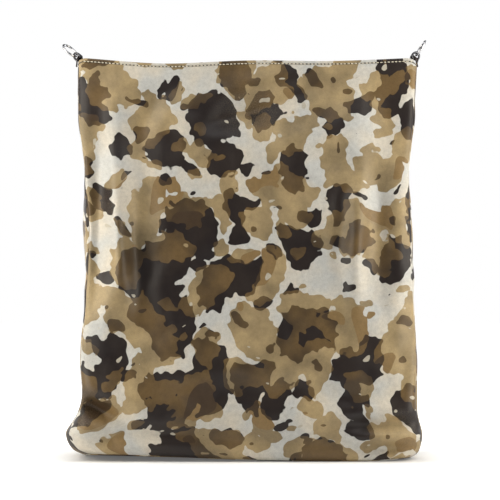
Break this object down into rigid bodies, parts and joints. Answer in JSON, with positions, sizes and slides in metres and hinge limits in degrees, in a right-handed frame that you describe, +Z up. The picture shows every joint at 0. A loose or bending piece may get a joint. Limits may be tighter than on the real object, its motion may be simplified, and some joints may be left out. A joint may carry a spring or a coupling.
{
  "type": "shoulder pouch",
  "caption": "Soft upright shoulder pouch in camouflage-printed leather, open at the top, standing on a boxed base, with a leaning ring at each top corner for a strap.",
  "frame": {"origin": "middle of the base, on the surface it stands on", "axes": "+Z up, +X across the width to the right as seen from the front, +Y from the front to the back"},
  "size_m": [0.3692, 0.1086, 0.4226],
  "materials": {
    "printed_leather": "satin, printed in a camouflage of off-white, tan, brown and dark brown",
    "facing_leather": "matte",
    "dark_leather": "satin",
    "lining_cloth": "twill weave",
    "board": "matte",
    "thread": "waxed thread",
    "snap_metal": "satin nickel",
    "dark_metal": "polished black nickel",
    "silver_metal": "polished nickel"
  },
  "bodies": {
    "bag": {"front_panel": "printed_leather", "back_panel": "printed_leather", "left_gusset": "printed_leather", "right_gusset": "printed_leather", "base_panel": "printed_leather", "front_facing": "facing_leather", "back_facing": "facing_leather", "left_facing": "facing_leather", "right_facing": "facing_leather", "left_tab": "dark_leather", "right_tab": "dark_leather", "front_lining": "lining_cloth", "back_lining": "lining_cloth", "left_lining": "lining_cloth", "right_lining": "lining_cloth", "base_lining": "lining_cloth", "base_board": "board", "front_topstitch": "thread", "back_topstitch": "thread", "snap_stud": "snap_metal", "snap_socket": "snap_metal", "left_tab_rivet": "dark_metal", "right_tab_rivet": "dark_metal"},
    "left_d_ring": {"left_d_ring": "dark_metal"},
    "left_strap_ring": {"left_ring": "silver_metal"},
    "right_d_ring": {"right_d_ring": "dark_metal"},
    "right_strap_ring": {"right_ring": "silver_metal"}
  },
  "joints": [
    {"name": "left_d_ring_swing", "type": "hinge", "parent": "bag", "child": "left_d_ring", "pos_m": [-0.17, 0, 0.404], "axis": [0.4217, -0.7547, 0.5026], "range_deg": [-60, 35]},
    {"name": "left_ring_swing", "type": "hinge", "parent": "left_d_ring", "child": "left_strap_ring", "pos_m": [-0.17521, 0, 0.40837], "axis": [0.4217, -0.7547, 0.5026], "range_deg": [-30, 30]},
    {"name": "right_d_ring_swing", "type": "hinge", "parent": "bag", "child": "right_d_ring", "pos_m": [0.1694, 0, 0.404], "axis": [0.6609, 0.6157, -0.4292], "range_deg": [-60, 40]},
    {"name": "right_ring_swing", "type": "hinge", "parent": "right_d_ring", "child": "right_strap_ring", "pos_m": [0.1731, 0, 0.4097], "axis": [0.6609, 0.6157, -0.4292], "range_deg": [-30, 30]}
  ]
}
